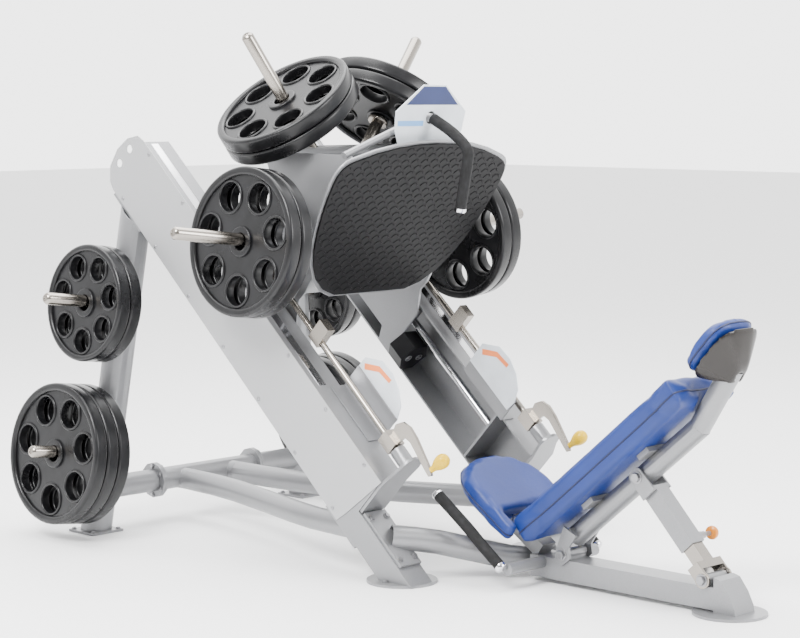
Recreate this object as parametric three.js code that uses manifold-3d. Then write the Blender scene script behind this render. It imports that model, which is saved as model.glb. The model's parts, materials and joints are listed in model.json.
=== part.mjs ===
// Plate-loaded 45 degree leg press, built from separate named parts.
// Millimetres, +Z up. +X points from the rails towards the backrest, +Y to the right-hand rail.
import * as THREE from 'three';
import { ConvexGeometry } from 'three/addons/geometries/ConvexGeometry.js';
import { mergeVertices } from 'three/addons/utils/BufferGeometryUtils.js';
import Module from 'manifold-3d';

const wasm = await Module();
wasm.setup();

// ---------------------------------------------------------------- driving dimensions
const GAP = 0.4; // between pieces that touch
const SHIFT_X = 178.2; // brings the middle of the bounding box to X = 0

const RAIL_ANGLE = 42.7; // below the horizontal, degrees
const RAIL_TOP_S = -1610;
const RAIL_END_S = -200;
const RAIL_DEPTH = 217;
const RAIL_Y = 330;
const RAIL_WIDTH = 100;
const RAIL_WALL = 6;
const LEG_DEPTH = 85;
const END_PLATE_THICK = 10;
const END_PLATE_CROWN = 40; // radius of its rounded top, about the stop rod
const CROSS_PLATE_S = -384;
const PAD_RADIUS = 103; // round foot plates on the floor
const PAD_THICK = 8;

const GUIDE_Y = 305;
const GUIDE_N = 143;
const GUIDE_R = 12.5;

const STOP_Y = 308;
const STOP_N = 276;
const STOP_R = 10;
const STOP_BLOCK_S = -702;

const POST_R = 50;
const POST_LOW = [-1203, 460, PAD_THICK];
const POST_HIGH = [-1130, 339, 1024];
const SPREADER_X = -1200;
const SPREADER_Z = 137;
const SPREADER_R = 38;
const FLANGE_Y = 215;
const SIDE_TUBE_Y = 105;
const TUBE_R = 36;
const TUBE_WALL = 4;

const PLATE_BIG_R = 222.5; // 45 lb plate
const PLATE_BIG_T = 46;
const PLATE_SMALL_R = 185; // 35 lb plate
const PLATE_SMALL_T = 46;
const PLATE_BORE_R = 25.4;
const HORN_R = 19;
const HORN_DROP = PLATE_BORE_R - HORN_R - 0.6; // a plate hangs by the top of its bore

const BEAM_X0 = 277;
const BEAM_X1 = 965;
const BEAM_HALF = 45;
const BEAM_Z0 = 14;
const BEAM_Z1 = 76;
const PIVOT_Z = 93;
const PIVOT_R = 15;
const BACK_PIVOT_X = 402;
const BACK_ANGLE = 40;
const BACK_TUBE_M = 29; // tube axis above the pivot, square to the pad
const BACK_TUBE_R = 31;
const BACK_KNEE_T = 596; // where the tube bends up to the headrest
const BACK_TOP = [790, 0, 92.8];
const STRUT_TOP_T = 357;
const CLEVIS_X = 893;

const SEAT_ANGLE = 33;
const SEAT_Q0 = 258;
const SEAT_Q1 = 322;
const SEAT_REAR = 180; // ends of the two lobes beside the backrest
const SEAT_NOTCH = 110; // rear edge between the lobes
const SEAT_HALF = 188;
const LOBE_INNER = 150;

const HEAD_ANGLE = BACK_ANGLE + 10;
const HEAD_LENGTH = 200;
const HEAD_HALF = 105;

// ---------------------------------------------------------------- colours
const FRAME = [0xb9bcc0, 0.45, 0.55];
const COVER = [0xcfd0d2, 0.6, 0.15];
const NICKEL = [0xb9ada0, 0.25, 0.9];
const CHROME = [0xd0d2d6, 0.15, 1.0];
const RUBBER = [0x151617, 0.55, 0.0];
const MAT = [0x202122, 0.8, 0.0];
const VINYL = [0x2c4a9a, 0.5, 0.0];
const SHELL = [0x4a4340, 0.3, 0.1];
const YELLOW = [0xf2c81e, 0.4, 0.0];
const WHITE = [0xe8eaec, 0.5, 0.0];

// ---------------------------------------------------------------- frames of reference
const rad = THREE.MathUtils.degToRad;

// X down the slope, Y across, Z square to the slope.
function slopeFrame(angle, origin = [0, 0, 0]) {
  const a = rad(angle);
  const along = new THREE.Vector3(Math.cos(a), 0, -Math.sin(a));
  const up = new THREE.Vector3(Math.sin(a), 0, Math.cos(a));
  return new THREE.Matrix4().makeBasis(along, new THREE.Vector3(0, 1, 0), up).setPosition(...origin);
}

const WORLD = new THREE.Matrix4();
const RAIL = slopeFrame(RAIL_ANGLE);
const SEAT = slopeFrame(SEAT_ANGLE);
const BACK = slopeFrame(-BACK_ANGLE, [BACK_PIVOT_X, 0, PIVOT_Z]);
const strutTop = new THREE.Vector3(STRUT_TOP_T, 0, BACK_TUBE_M).applyMatrix4(BACK);
const strutFoot = new THREE.Vector3(CLEVIS_X, 0, PIVOT_Z);
const STRUT_LENGTH = strutTop.distanceTo(strutFoot);
const STRUT_ANGLE = THREE.MathUtils.radToDeg(Math.atan2(strutTop.z - strutFoot.z, strutFoot.x - strutTop.x));
const STRUT = slopeFrame(STRUT_ANGLE, strutTop.toArray());

// Foot plate frame: X square to the plate towards the user, Y across, Z up the plate.
const FOOT_ANGLE = 32.2;
const FOOT = slopeFrame(FOOT_ANGLE, [-422, 0, 783]);

// Frame whose Z runs along a horn from a root point in the given direction.
function hornFrame(root, direction) {
  const z = new THREE.Vector3(...direction).normalize();
  const x = new THREE.Vector3(1, 0, 0);
  x.addScaledVector(z, -x.dot(z)).normalize();
  const y = new THREE.Vector3().crossVectors(z, x);
  return new THREE.Matrix4().makeBasis(x, y, z).setPosition(...root);
}

// ---------------------------------------------------------------- solids
function place(geometry, frame = WORLD) {
  return geometry.applyMatrix4(frame);
}

function box(x, y, z, frame = WORLD) {
  const geometry = new THREE.BoxGeometry(x[1] - x[0], y[1] - y[0], z[1] - z[0]);
  geometry.translate((x[0] + x[1]) / 2, (y[0] + y[1]) / 2, (z[0] + z[1]) / 2);
  return place(geometry, frame);
}

// A flat outline in the X-Z plane of a frame, thick in Y.
function slab(points, y, frame = WORLD, holes = []) {
  const shape = new THREE.Shape(points.map(([px, pz]) => new THREE.Vector2(px, pz)));
  for (const [hx, hz, radius, sides] of holes) {
    shape.holes.push(new THREE.Path(ringPoints(hx, hz, radius, sides)));
  }
  const geometry = new THREE.ExtrudeGeometry(shape, { depth: y[1] - y[0], bevelEnabled: false });
  geometry.rotateX(Math.PI / 2);
  geometry.translate(0, y[1], 0);
  return place(geometry, frame);
}

// A flat outline in the Y-Z plane of a frame, thick in X.
function sheet(points, x, frame = WORLD, holes = []) {
  const shape = new THREE.Shape(points.map(([py, pz]) => new THREE.Vector2(py, pz)));
  for (const [hy, hz, radius, sides] of holes) {
    shape.holes.push(new THREE.Path(ringPoints(hy, hz, radius, sides)));
  }
  const geometry = new THREE.ExtrudeGeometry(shape, { depth: x[1] - x[0], bevelEnabled: false });
  const axes = new THREE.Matrix4().makeBasis(
    new THREE.Vector3(0, 1, 0), new THREE.Vector3(0, 0, 1), new THREE.Vector3(1, 0, 0));
  geometry.applyMatrix4(axes);
  geometry.translate(x[0], 0, 0);
  return place(geometry, frame);
}

function ringPoints(cx, cy, radius, sides, start = 0) {
  const points = [];
  for (let i = 0; i < sides; i += 1) {
    const a = start + (2 * Math.PI * i) / sides;
    points.push(new THREE.Vector2(cx + radius * Math.cos(a), cy + radius * Math.sin(a)));
  }
  return points;
}

// A round bar between two points.
function bar(radius, from, to, frame = WORLD, sides = 12) {
  const a = new THREE.Vector3(...from);
  const b = new THREE.Vector3(...to);
  const geometry = new THREE.CylinderGeometry(radius, radius, a.distanceTo(b), sides);
  const turn = new THREE.Quaternion().setFromUnitVectors(
    new THREE.Vector3(0, 1, 0), b.clone().sub(a).normalize());
  geometry.applyQuaternion(turn);
  geometry.translate((a.x + b.x) / 2, (a.y + b.y) / 2, (a.z + b.z) / 2);
  return place(geometry, frame);
}

// A round bar or open-ended pipe through a list of points, smoothed at the bends.
function bentPipe(radius, wall, points, frame = WORLD, steps = 12, sides = 14) {
  const curve = new THREE.CatmullRomCurve3(points.map((p) => new THREE.Vector3(...p)), false, 'centripetal');
  const shape = new THREE.Shape(ringPoints(0, 0, radius, sides));
  if (wall > 0) {
    shape.holes.push(new THREE.Path(ringPoints(0, 0, radius - wall, sides)));
  }
  const geometry = new THREE.ExtrudeGeometry(shape, { steps, bevelEnabled: false, extrudePath: curve });
  return place(geometry, frame);
}

// An open-ended straight pipe between two points.
function pipe(radius, wall, from, to, frame = WORLD, sides = 16) {
  const curve = new THREE.LineCurve3(new THREE.Vector3(...from), new THREE.Vector3(...to));
  const shape = new THREE.Shape(ringPoints(0, 0, radius, sides));
  shape.holes.push(new THREE.Path(ringPoints(0, 0, radius - wall, sides)));
  const geometry = new THREE.ExtrudeGeometry(shape, { steps: 1, bevelEnabled: false, extrudePath: curve });
  return place(geometry, frame);
}

// ---------------------------------------------------------------- booleans
function toManifold(geometry) {
  const bare = geometry.clone();
  bare.deleteAttribute('normal');
  bare.deleteAttribute('uv');
  const merged = mergeVertices(bare, 1e-3);
  return new wasm.Manifold(new wasm.Mesh({
    numProp: 3,
    vertProperties: new Float32Array(merged.attributes.position.array),
    triVerts: new Uint32Array(merged.index.array),
  }));
}

function fromManifold(solid) {
  const mesh = solid.getMesh();
  const geometry = new THREE.BufferGeometry();
  geometry.setAttribute('position', new THREE.BufferAttribute(new Float32Array(mesh.vertProperties), 3));
  geometry.setIndex(new THREE.BufferAttribute(new Uint32Array(mesh.triVerts), 1));
  return geometry;
}

function join(...geometries) {
  const solids = geometries.map(toManifold);
  return fromManifold(solids.slice(1).reduce((sum, solid) => sum.add(solid), solids[0]));
}

function cut(geometry, ...tools) {
  return fromManifold(tools.map(toManifold).reduce((rest, tool) => rest.subtract(tool), toManifold(geometry)));
}

// Mirrors a geometry to the other side of the machine.
function mirrored(geometry) {
  const copy = geometry.clone();
  copy.scale(1, -1, 1);
  if (!copy.index) {
    return fromManifold(toManifold(flipped(copy)));
  }
  return flipped(copy);
}

function flipped(geometry) {
  const result = geometry.index ? geometry : mergeVertices(geometry, 1e-3);
  const order = result.index.array;
  for (let i = 0; i < order.length; i += 3) {
    [order[i], order[i + 1]] = [order[i + 1], order[i]];
  }
  return result;
}

// ---------------------------------------------------------------- scene
const group = new THREE.Group();
group.name = 'leg_press';

function add(name, geometry, [colour, roughness, metalness]) {
  const placed = geometry.clone().translate(SHIFT_X, 0, 0);
  placed.computeVertexNormals();
  const mesh = new THREE.Mesh(placed, new THREE.MeshStandardMaterial({ color: colour, roughness, metalness }));
  mesh.name = name;
  group.add(mesh);
}

// The right-hand piece is built at +Y and the left-hand one is its mirror image.
function addPair(name, geometry, material) {
  add(`${name}_right`, geometry, material);
  add(`${name}_left`, mirrored(geometry), material);
}

const railOuter = RAIL_Y + RAIL_WIDTH / 2;
const railInner = RAIL_Y - RAIL_WIDTH / 2;

// ---------------------------------------------------------------- rails
function rail() {
  const s = [RAIL_TOP_S, RAIL_END_S];
  const web = box(s, [railOuter - RAIL_WALL, railOuter], [0, RAIL_DEPTH], RAIL);
  const low = box(s, [railInner, railOuter], [0, RAIL_WALL], RAIL);
  const high = box(s, [railInner, railOuter], [RAIL_DEPTH - RAIL_WALL, RAIL_DEPTH], RAIL);
  const cross = box([CROSS_PLATE_S, CROSS_PLATE_S + 8], [railInner, railOuter - 2], [2, RAIL_DEPTH - 2], RAIL);
  const cap = box([RAIL_TOP_S, RAIL_TOP_S + 8], [railInner, railOuter - 2], [2, RAIL_DEPTH - 2], RAIL);
  const leg = cut(
    box([RAIL_END_S - 60, 160], [railInner + 8, railOuter], [0, LEG_DEPTH], RAIL),
    box([RAIL_END_S - 61, 160], [railInner + 12, railOuter - 4], [4, LEG_DEPTH - 4], RAIL));
  const floor = box([-400, 400], [0, 600], [-400, PAD_THICK - 2]);
  const foot = bar(PAD_RADIUS, [25, RAIL_Y - 12, 0], [25, RAIL_Y - 12, PAD_THICK], WORLD, 24);
  return join(web, low, high, cross, cap, cut(leg, floor), foot);
}
addPair('rail', rail(), FRAME);

function railCover() {
  const low = -2;
  const high = RAIL_DEPTH + 2;
  const outline = [
    [-1619, low], [-240, low], [-228, 45], [-196, high], [-1612, high],
    [-1645, high - 8], [-1676, 170], [-1690, 110], [-1680, 45], [-1648, 8],
  ];
  const holes = [[-1646, 152, 13, 12], [-1652, 84, 13, 12]];
  return slab(outline, [railOuter + GAP, railOuter + GAP + 3], RAIL, holes);
}
addPair('rail_cover', railCover(), COVER);

function railEndPlate() {
  const x = [RAIL_END_S + GAP, RAIL_END_S + GAP + END_PLATE_THICK];
  const outline = [[railInner + 2, LEG_DEPTH + 4], [railOuter - 2, LEG_DEPTH + 4], [railOuter - 2, RAIL_DEPTH]];
  const steps = 8;
  for (let i = 0; i <= steps; i += 1) {
    const a = (Math.PI * i) / steps;
    outline.push([STOP_Y + END_PLATE_CROWN * Math.cos(a), STOP_N + END_PLATE_CROWN * Math.sin(a)]);
  }
  outline.push([railInner + 2, RAIL_DEPTH]);
  const socket = bar(STOP_R + 1.5, [x[0] - 100, STOP_Y, STOP_N], [x[0] + 5, STOP_Y, STOP_N], RAIL);
  const collar = bar(24, [x[0] - 58, STOP_Y, STOP_N], [x[0] + 1, STOP_Y, STOP_N], RAIL);
  return cut(join(sheet(outline, x, RAIL), collar), socket);
}
addPair('rail_end_plate', railEndPlate(), FRAME);

addPair('guide_rod', bar(
  GUIDE_R, [RAIL_TOP_S + 8 + GAP, GUIDE_Y, GUIDE_N], [CROSS_PLATE_S - GAP, GUIDE_Y, GUIDE_N], RAIL, 12), CHROME);

// ---------------------------------------------------------------- rear structure
function alongPost(z) {
  const t = (z - POST_LOW[2]) / (POST_HIGH[2] - POST_LOW[2]);
  return POST_LOW.map((low, i) => low + t * (POST_HIGH[i] - low));
}

function rearPost() {
  const above = box([-1900, -1300], [200, 500], [-12 - GAP, 200], RAIL);
  const below = box([-1400, -1000], [300, 600], [-100, PAD_THICK - 4]);
  const post = cut(pipe(POST_R, TUBE_WALL, alongPost(-30), alongPost(1120)), above, below);
  const base = box([POST_LOW[0] - 62, POST_LOW[0] + 62], [POST_LOW[1] - 62, POST_LOW[1] + 62], [0, PAD_THICK]);
  const flange = box([-1610, -1440], [railInner + 4, railOuter - 1], [-14 - GAP, -GAP], RAIL);
  const joint = alongPost(SPREADER_Z);
  const stub = bar(SPREADER_R, [SPREADER_X, FLANGE_Y + 4, SPREADER_Z], [SPREADER_X, joint[1] - 20, SPREADER_Z]);
  const disc = bar(58, [SPREADER_X, FLANGE_Y + GAP, SPREADER_Z], [SPREADER_X, FLANGE_Y + 10, SPREADER_Z]);
  return join(post, base, flange, stub, disc);
}
addPair('rear_post', rearPost(), FRAME);

function rearSpreader() {
  const centre = bar(SPREADER_R, [SPREADER_X, -FLANGE_Y + 4, SPREADER_Z], [SPREADER_X, FLANGE_Y - 4, SPREADER_Z]);
  const pieces = [centre];
  for (const side of [-1, 1]) {
    const y = side * SIDE_TUBE_Y;
    pieces.push(bar(58, [SPREADER_X, side * FLANGE_Y, SPREADER_Z], [SPREADER_X, side * (FLANGE_Y - 10), SPREADER_Z]));
    pieces.push(bar(TUBE_R, [SPREADER_X, y, SPREADER_Z - 6], [SPREADER_X + 56, y, SPREADER_Z - 6]));
  }
  return join(...pieces);
}
add('rear_spreader', rearSpreader(), FRAME);

function sideTube() {
  const start = SPREADER_X + 56 + GAP;
  const route = [
    [start - 10, SIDE_TUBE_Y, SPREADER_Z - 6], [-950, 120, 128], [-640, 196, 124], [-390, 278, 128], [-110, 345, 140],
  ];
  const tube = bentPipe(TUBE_R, TUBE_WALL, route, WORLD, 8, 12);
  const plate = box([-300, -140], [railInner + 8, railOuter - 2], [-12 - GAP, -GAP], RAIL);
  const beyond = box([-500, 300], [100, 600], [-6 - GAP, 400], RAIL);
  const before = box([start - 100, start], [0, 300], [0, 300]);
  return join(cut(tube, beyond, before), plate);
}
addPair('side_tube', sideTube(), FRAME);

function frontTube() {
  const half = [[0, 338, 130], [70, 235, 112], [160, 120, 78]];
  const nose = BEAM_X0 - TUBE_R - 1;
  const route = [...half.map(([x, y, z]) => [x, -y, z]), [nose, 0, 50], ...half.reverse()];
  const tube = bentPipe(TUBE_R, TUBE_WALL, route, WORLD, 12, 12);
  const solids = [];
  for (const side of [-1, 1]) {
    const y = [side * (railInner + 8), side * (railOuter - 6)].sort((a, b) => a - b);
    solids.push(box([-185, 15], y, [LEG_DEPTH + GAP, LEG_DEPTH + 10], RAIL));
  }
  const behind = box([-600, 300], [-600, 600], [-300, LEG_DEPTH + 4], RAIL);
  return join(cut(tube, behind), ...solids);
}
add('front_cross_tube', frontTube(), FRAME);

// ---------------------------------------------------------------- weight horns and plates
function weightPlates(radius, thickness, count, frame, from) {
  const outline = new THREE.Shape(ringPoints(0, 0, radius, 28));
  outline.holes.push(new THREE.Path(ringPoints(0, 0, PLATE_BORE_R / Math.cos(Math.PI / 10), 10)));
  for (let i = 0; i < 7; i += 1) {
    const a = (2 * Math.PI * i) / 7;
    outline.holes.push(new THREE.Path(
      ringPoints(0.65 * radius * Math.cos(a), 0.65 * radius * Math.sin(a), 0.2 * radius, 7, a)));
  }
  const geometry = new THREE.ExtrudeGeometry(outline, { depth: count * thickness, bevelEnabled: false });
  geometry.rotateZ(Math.PI / 2 + Math.PI / 7);
  geometry.translate(0, HORN_DROP, from);
  return place(geometry, frame);
}

// name, root, direction, horn length, where the plates start, plate radius, thickness, count
const HORNS = {
  top: {
    root: [-550.5, 103, 1215], reach: [-14, 217, 293], length: 452, start: 130,
    radius: PLATE_BIG_R, thickness: PLATE_BIG_T, count: 2,
  },
  side: {
    root: [-457, 412, 964], reach: [0, 348, 42], length: 350, start: 4,
    radius: PLATE_BIG_R, thickness: PLATE_BIG_T, count: 2,
  },
  rear_upper: {
    root: alongPost(733), reach: [0, 348, 42], length: 318, start: 78,
    radius: PLATE_SMALL_R, thickness: PLATE_SMALL_T, count: 2,
  },
  rear_lower: {
    root: alongPost(256), reach: [0, 348, 42], length: 300, start: 78,
    radius: PLATE_BIG_R, thickness: PLATE_BIG_T, count: 3,
  },
};
const crossbar = () => bar(28 + GAP, [-1229, -400, 520], [-1229, 400, 520], RAIL, 14);

function horn({ length, start }, frame, inset) {
  const rod = bar(HORN_R, [0, 0, inset], [0, 0, length - 6], frame, 12);
  const tip = bar(HORN_R - 5, [0, 0, length - 8], [0, 0, length], frame, 12);
  const collar = bar(HORN_R + 14, [0, 0, Math.max(inset, start - 12)], [0, 0, start - GAP], frame, 12);
  return start - 12 > inset ? join(rod, tip, collar) : join(rod, tip);
}
const hornInset = { top: 22, side: GAP, rear_upper: POST_R + 5, rear_lower: POST_R + 5 };
for (const [name, spec] of Object.entries(HORNS)) {
  const frame = hornFrame(spec.root, spec.reach);
  const solid = horn(spec, frame, hornInset[name]);
  addPair(`horn_${name}`, name === 'top' ? cut(solid, crossbar()) : solid, NICKEL);
  addPair(`plates_${name}`, weightPlates(
    spec.radius, spec.thickness, spec.count, frame, spec.start), RUBBER);
}

// ---------------------------------------------------------------- seat beam, seat and handles
function seatBeam() {
  const wall = 4;
  const tube = cut(
    box([BEAM_X0, BEAM_X1], [-BEAM_HALF, BEAM_HALF], [BEAM_Z0, BEAM_Z1]),
    box([BEAM_X0 - 1, BEAM_X1 - 30], [wall - BEAM_HALF, BEAM_HALF - wall], [BEAM_Z0 + wall, BEAM_Z1 - wall]));
  const footOutline = [
    [BEAM_X1 - 40, PAD_THICK - 2], [998, PAD_THICK - 2], [994, 26], [976, 62], [948, 98], [BEAM_X1 - 40, 104],
  ];
  const foot = slab(footOutline, [-BEAM_HALF, BEAM_HALF]);
  const disc = bar(PAD_RADIUS, [948, 0, 0], [948, 0, PAD_THICK], WORLD, 24);
  const pads = box([900, BEAM_X1], [-30, 30], [PAD_THICK - 2, BEAM_Z0 + 2]);
  const pivot = bar(PIVOT_R, [BACK_PIVOT_X, -BEAM_HALF, PIVOT_Z], [BACK_PIVOT_X, BEAM_HALF, PIVOT_Z]);
  const pivotSeat = box([BACK_PIVOT_X - 12, BACK_PIVOT_X + 12], [-BEAM_HALF, BEAM_HALF], [BEAM_Z1 - 2, PIVOT_Z]);
  const clevis = bar(PIVOT_R, [CLEVIS_X, -BEAM_HALF, PIVOT_Z], [CLEVIS_X, BEAM_HALF, PIVOT_Z]);
  const clevisSeat = box([CLEVIS_X - 12, CLEVIS_X + 12], [-BEAM_HALF, BEAM_HALF], [BEAM_Z1 - 2, PIVOT_Z]);
  const arm = box([-110, 205], [-30, 30], [212, SEAT_Q0 - 1], SEAT);
  const cross = bar(18, [322, -197, 60], [322, 197, 60]);
  return join(tube, foot, disc, pads, pivot, pivotSeat, clevis, clevisSeat, arm, cross);
}
add('seat_beam', seatBeam(), FRAME);

function seatPad() {
  const shape = new THREE.Shape();
  shape.moveTo(SEAT_NOTCH, -LOBE_INNER);
  shape.lineTo(SEAT_NOTCH, LOBE_INNER);
  shape.lineTo(SEAT_REAR - 8, LOBE_INNER);
  shape.quadraticCurveTo(SEAT_REAR, LOBE_INNER + 2, SEAT_REAR, LOBE_INNER + 12);
  shape.quadraticCurveTo(SEAT_REAR, SEAT_HALF, SEAT_REAR - 24, SEAT_HALF);
  shape.lineTo(-20, 176);
  shape.bezierCurveTo(-105, 164, -150, 95, -152, 0);
  shape.bezierCurveTo(-150, -95, -105, -164, -20, -176);
  shape.lineTo(SEAT_REAR - 24, -SEAT_HALF);
  shape.quadraticCurveTo(SEAT_REAR, -SEAT_HALF, SEAT_REAR, -LOBE_INNER - 12);
  shape.quadraticCurveTo(SEAT_REAR, -LOBE_INNER - 2, SEAT_REAR - 8, -LOBE_INNER);
  shape.lineTo(SEAT_NOTCH, -LOBE_INNER);
  const geometry = new THREE.ExtrudeGeometry(shape, {
    depth: SEAT_Q1 - SEAT_Q0, bevelEnabled: false, curveSegments: 6,
  });
  geometry.translate(0, 0, SEAT_Q0);
  return place(geometry, SEAT);
}
add('seat_pad', seatPad(), VINYL);

const handleRoute = [[-84, 216, 246], [60, 216, 241], [140, 216, 234], [236, 216, 228]];
addPair('seat_handle', bentPipe(17, 0, handleRoute, SEAT, 6, 12), RUBBER);

// ---------------------------------------------------------------- guards and stop plates
function guard() {
  const s = [-560, -345];
  const base = box(s, [262, 322], [RAIL_DEPTH + GAP, RAIL_DEPTH + 4], RAIL);
  const wall = box(s, [262, 266], [RAIL_DEPTH + GAP, 306], RAIL);
  return join(base, wall);
}
addPair('rod_guard', guard(), FRAME);

function stopPlacard() {
  const outline = [[-560, 262], [-350, 262], [-345, 300], [-362, 342], [-400, 372], [-450, 388], [-505, 384], [-560, 340]];
  return slab(outline, [258, 262 - GAP], RAIL);
}
addPair('stop_placard', stopPlacard(), WHITE);

// ---------------------------------------------------------------- safety stop rods, levers and knobs
function stopRod() {
  const rod = bar(STOP_R, [-1150, STOP_Y, STOP_N], [RAIL_END_S + 4, STOP_Y, STOP_N], RAIL);
  const block = box([STOP_BLOCK_S - 24, STOP_BLOCK_S + 24], [STOP_Y - 15, STOP_Y + 15], [STOP_N - 15, STOP_N + 58], RAIL);
  const hub = box([-320, -264], [STOP_Y - 20, STOP_Y + 20], [STOP_N - 22, STOP_N + 22], RAIL);
  const arm = [
    [-300, STOP_N + 10], [-312, 330], [-298, 356], [-268, 366], [-230, 362], [-132, 336], [-118, 326], [-124, 316],
    [-142, 318], [-238, 334], [-262, 328], [-270, STOP_N + 10],
  ];
  return join(rod, block, hub, slab(arm, [STOP_Y - 5, STOP_Y + 5], RAIL));
}
addPair('stop_lever', stopRod(), NICKEL);

const knobProfile = [[0, 0], [9, 0], [11, 14], [19, 34], [22, 50], [18, 64], [9, 72], [0, 74]];
function lathe(profile, frame, segments = 14) {
  const geometry = new THREE.LatheGeometry(profile.map(([r, h]) => new THREE.Vector2(r, h)), segments);
  geometry.rotateX(Math.PI / 2);
  return place(fromManifold(toManifold(geometry)), frame);
}
const knobRoot = new THREE.Vector3(-131, STOP_Y, 337).applyMatrix4(RAIL).toArray();
const knobAim = new THREE.Vector3(0.2, 0, 0.98).transformDirection(RAIL).toArray();
addPair('stop_knob', lathe(knobProfile, hornFrame(knobRoot, knobAim)), YELLOW);

// ---------------------------------------------------------------- carriage
const SIDE_Y = [262, 270];

// A point on the back of the foot plate, as a place along and above the rail.
function behindFootPlate(v) {
  const point = new THREE.Vector3(-14 - GAP, 0, v).applyMatrix4(FOOT).applyMatrix4(RAIL.clone().invert());
  return [point.x, point.z];
}

function carriageFrame() {
  const outline = [
    [-1130, 60], [-900, 60], [-880, 16], [-818, 16], [-818, 200], [-862, 268], behindFootPlate(20),
    behindFootPlate(455), [-1000, 740], [-1250, 515], [-1250, 480], [-1130, 430],
  ];
  const span = [-SIDE_Y[0] - 2, SIDE_Y[0] + 2];
  const pieces = [
    bar(28, [-1229, span[0], 520], [-1229, span[1], 520], RAIL, 14),
    box([-1070, -1030], span, [100, 140], RAIL),
    box([-1000, -960], span, [600, 640], RAIL),
    box([-920, -880], span, [300, 340], RAIL),
  ];
  for (const side of [-1, 1]) {
    const across = (near, far) => [side * near, side * far].sort((a, b) => a - b);
    const end = hornFrame([-457, side * 412, 964], [0, side * 348, 42]);
    pieces.push(
      slab(outline, across(...SIDE_Y), RAIL),
      box([-1036, -952], across(SIDE_Y[1] - 2, 402), [358, 438], RAIL),
      bar(40, [0, 0, -40], [0, 0, 0], end, 14),
      box([-985, -955], across(336, 372), [262, 362], RAIL),
      box([-826, -818], across(SIDE_Y[0], 342), [18, 100], RAIL));
  }
  return join(...pieces);
}
add('carriage_frame', carriageFrame(), FRAME);

function bearingBlock() {
  const block = box([-1110, -850], [SIDE_Y[1] + GAP, 336], [GUIDE_N - 36, GUIDE_N + 36], RAIL);
  const bore = bar(GUIDE_R + 1, [-1200, GUIDE_Y, GUIDE_N], [-700, GUIDE_Y, GUIDE_N], RAIL, 12);
  return cut(block, bore);
}
addPair('bearing_block', bearingBlock(), FRAME);

function bumper() {
  const outline = [[232, 65], [262, 14], [318, 14], [348, 65], [318, 116], [262, 116]];
  return sheet(outline, [-818 + GAP, -748], RAIL);
}
addPair('bumper', bumper(), RUBBER);

function footOutline(inset) {
  const shape = new THREE.Shape();
  const w = (value) => value - inset;
  shape.moveTo(-w(165), inset);
  shape.lineTo(w(165), inset);
  shape.bezierCurveTo(w(250), 20 + inset, w(300), 95, w(336), 185);
  shape.bezierCurveTo(w(360), 260, w(378), 350, w(376), 425);
  shape.quadraticCurveTo(w(374), 488 - inset, w(328), 504 - inset);
  shape.bezierCurveTo(w(220), 548 - inset, w(110), 562 - inset, 0, 562 - inset);
  shape.bezierCurveTo(-w(110), 562 - inset, -w(220), 548 - inset, -w(328), 504 - inset);
  shape.quadraticCurveTo(-w(374), 488 - inset, -w(376), 425);
  shape.bezierCurveTo(-w(378), 350, -w(360), 260, -w(336), 185);
  shape.bezierCurveTo(-w(300), 95, -w(250), 20 + inset, -w(165), inset);
  return shape.getPoints(4).slice(0, -1).map((p) => [p.x, p.y]);
}
add('foot_plate', sheet(footOutline(0), [-14, -8 - GAP], FOOT), FRAME);
add('foot_mat', sheet(footOutline(10), [-8, 0], FOOT), MAT);

const placardFrame = slopeFrame(11, [-168, 0, 1292]);
function placard() {
  const neck = [[-120, -50], [120, -50], [146, 0], [152, 58], [48, 138], [-48, 138], [-152, 58], [-146, 0]];
  return sheet(neck, [-4, 0], placardFrame, [[0, 39, 20, 12]]);
}
add('carriage_placard', placard(), WHITE);

function pullHandle() {
  const grip = bentPipe(17, 0, [[-158, 0, 1331], [-70, 0, 1285], [-14, 0, 1238], [-14, 0, 1190], [-42, 0, 1050]],
    WORLD, 10, 12);
  const shaft = bar(13, [-205, 0, 1334], [-140, 0, 1328]);
  const brace = bar(11, [-195, 0, 1333], [-196, -330, 1222]);
  return join(grip, shaft, brace);
}
add('pull_handle', pullHandle(), RUBBER);

// ---------------------------------------------------------------- backrest
// The bent upper end of the backrest tube, or the room it needs when grown a little.
function upperTube(extra = 0) {
  const end = [BACK_TOP[0] + 3 * extra, 0, BACK_TOP[2] + extra];
  return bar(BACK_TUBE_R + extra, [BACK_KNEE_T, 0, BACK_TUBE_M], end, BACK, 16);
}

function backrestTube() {
  const low = bar(BACK_TUBE_R, [36, 0, BACK_TUBE_M], [BACK_KNEE_T + 8, 0, BACK_TUBE_M], BACK, 16);
  const pieces = [low, upperTube()];
  for (const t of [180, 433]) {
    pieces.push(box([t - 22, t + 22], [-62, 62], [BACK_TUBE_M + 24, 68], BACK));
  }
  for (const y of [[-54, -47], [47, 54]]) {
    pieces.push(slab([[-20, -26], [18, -26], [34, 0], [78, 14], [58, 58], [-10, 22], [-30, 0]], y, BACK));
  }
  pieces.push(box([44, 70], [-50, 50], [14, 44], BACK));
  return join(...pieces);
}
add('backrest_tube', backrestTube(), FRAME);
add('backrest_pad', cut(box([-56, 690], [-140, 140], [68 + GAP, 158], BACK), upperTube(2)), VINYL);

const headFrame = slopeFrame(-HEAD_ANGLE, new THREE.Vector3(700, 0, 110).applyMatrix4(BACK).toArray());

// The oval outline of the headrest seen from the front, shrunk by an inset.
function headOutline(inset, sides = 20) {
  const points = [];
  for (let i = 0; i < sides; i += 1) {
    const a = (2 * Math.PI * i) / sides;
    const bulge = (value) => Math.sign(value) * Math.abs(value) ** 0.7;
    points.push([
      HEAD_LENGTH / 2 + (HEAD_LENGTH / 2 - inset) * bulge(Math.cos(a)), (HEAD_HALF - inset) * bulge(Math.sin(a)),
    ]);
  }
  return points;
}

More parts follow.
